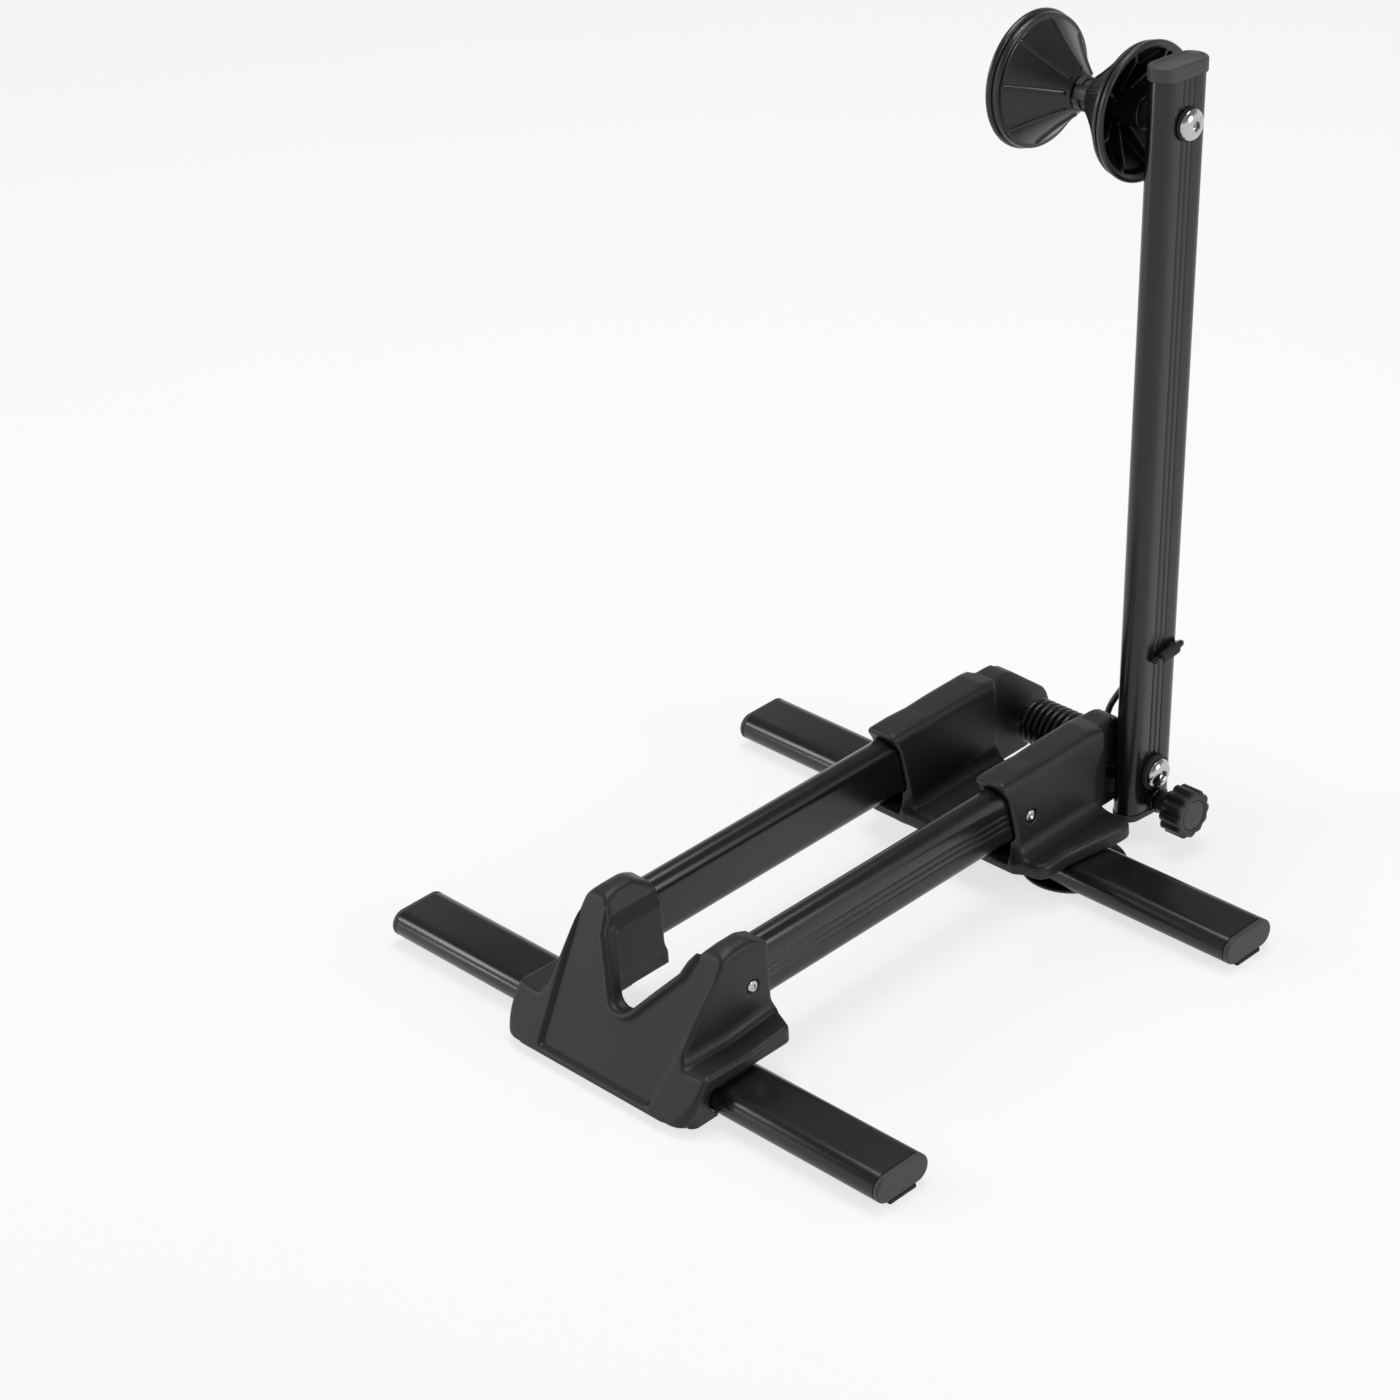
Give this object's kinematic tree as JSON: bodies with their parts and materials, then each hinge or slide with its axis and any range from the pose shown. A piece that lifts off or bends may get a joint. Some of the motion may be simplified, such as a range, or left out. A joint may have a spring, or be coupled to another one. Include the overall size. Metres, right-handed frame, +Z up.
{
  "type": "bicycle parking stand",
  "caption": "Folding floor stand for a bicycle wheel: cradle and rails take the tyre, a sprung upright post with a V roller leans on it, and swing-out feet steady it.",
  "frame": {"origin": "centre of the bounding box in plan, on the floor", "axes": "+X across the stand towards the side with the post and its lock knob, +Y from the cradle to the post, +Z up"},
  "size_m": [0.3532, 0.4271, 0.4364],
  "materials": {
    "black_anodised_tube": "black anodised, satin",
    "matte_black_moulding": "fine-grained matte black",
    "glossy_black_moulding": "smooth black",
    "dark_grey_cap": "matte dark grey",
    "black_rubber": "matte black",
    "stainless_steel": "polished stainless",
    "zinc_steel": "plain steel",
    "black_steel": "black, semi-gloss"
  },
  "bodies": {
    "stand": {"cradle_screw_left": "stainless_steel", "cradle_screw_right": "stainless_steel", "foot_block_left": "glossy_black_moulding", "foot_block_right": "glossy_black_moulding", "foot_pivot_front_left": "glossy_black_moulding", "foot_pivot_front_right": "glossy_black_moulding", "foot_pivot_rear_left": "glossy_black_moulding", "foot_pivot_rear_right": "glossy_black_moulding", "front_cradle": "matte_black_moulding", "housing_screw_left": "stainless_steel", "housing_screw_right": "stainless_steel", "rail_left": "black_anodised_tube", "rail_right": "black_anodised_tube", "rear_housing": "matte_black_moulding"},
    "frame": {"lock_collar": "black_steel", "pivot_bolt_left": "stainless_steel", "pivot_bolt_right": "stainless_steel", "pivot_shaft": "zinc_steel", "pivot_spacer": "zinc_steel", "pivot_washer_left": "black_rubber", "pivot_washer_right": "black_rubber", "post": "black_anodised_tube", "post_foot_cap": "dark_grey_cap", "post_top_cap": "dark_grey_cap", "roller_axle": "zinc_steel", "roller_bolt_left": "stainless_steel", "roller_bolt_right": "stainless_steel", "roller_post_spacer": "zinc_steel", "roller_spacer": "matte_black_moulding", "roller_washer_left": "black_rubber", "roller_washer_right": "black_rubber", "spring_sleeve": "black_rubber", "torsion_spring": "black_steel"},
    "roller": {"roller_cone_left": "glossy_black_moulding", "roller_cone_right": "glossy_black_moulding", "roller_sleeve": "matte_black_moulding"},
    "lock_screw": {"lock_stud": "zinc_steel"},
    "lock_knob": {"lock_knob": "matte_black_moulding", "lock_knob_cap": "dark_grey_cap"},
    "foot_front_left": {"foot_front_left": "black_anodised_tube", "foot_cap_front_left": "dark_grey_cap", "foot_pad_front_left": "black_rubber"},
    "foot_front_right": {"foot_front_right": "black_anodised_tube", "foot_cap_front_right": "dark_grey_cap", "foot_pad_front_right": "black_rubber"},
    "foot_rear_left": {"foot_rear_left": "black_anodised_tube", "foot_cap_rear_left": "dark_grey_cap", "foot_pad_rear_left": "black_rubber"},
    "foot_rear_right": {"foot_rear_right": "black_anodised_tube", "foot_cap_rear_right": "dark_grey_cap", "foot_pad_rear_right": "black_rubber"}
  },
  "joints": [
    {"name": "frame_fold", "type": "hinge", "parent": "stand", "child": "frame", "pos_m": [0, 0.14889, 0.0377], "axis": [-1, 0, 0], "range_deg": [-18.5, 85.4], "stiffness_Nm_per_rad": 1.2, "springref_deg": -3.09},
    {"name": "roller_spin", "type": "hinge", "parent": "frame", "child": "roller", "pos_m": [0, 0.17813, 0.40103], "axis": [1, 0, 0], "continuous": true},
    {"name": "lock_travel", "type": "slide", "parent": "frame", "child": "lock_screw", "axis": [1, 0, 0], "range_m": [0, 0.002]},
    {"name": "lock_turn", "type": "hinge", "parent": "lock_screw", "child": "lock_knob", "pos_m": [0, 0.14761, 0.02175], "axis": [1, 0, 0], "range_deg": [0, 720]},
    {"name": "foot_front_left_swing", "type": "hinge", "parent": "stand", "child": "foot_front_left", "pos_m": [-0.05, -0.17471, 0.01005], "axis": [0, 0, -1], "range_deg": [0, 90]},
    {"name": "foot_front_right_swing", "type": "hinge", "parent": "stand", "child": "foot_front_right", "pos_m": [0.05, -0.17471, 0.01005], "axis": [0, 0, 1], "range_deg": [0, 90]},
    {"name": "foot_rear_left_swing", "type": "hinge", "parent": "stand", "child": "foot_rear_left", "pos_m": [-0.05, 0.08599, 0.01005], "axis": [0, 0, 1], "range_deg": [0, 90]},
    {"name": "foot_rear_right_swing", "type": "hinge", "parent": "stand", "child": "foot_rear_right", "pos_m": [0.05, 0.08599, 0.01005], "axis": [0, 0, -1], "range_deg": [0, 90]}
  ],
  "couplings": [
    {"joint": "lock_turn", "follows": "lock_travel", "rad_per_m": 6283.2}
  ]
}
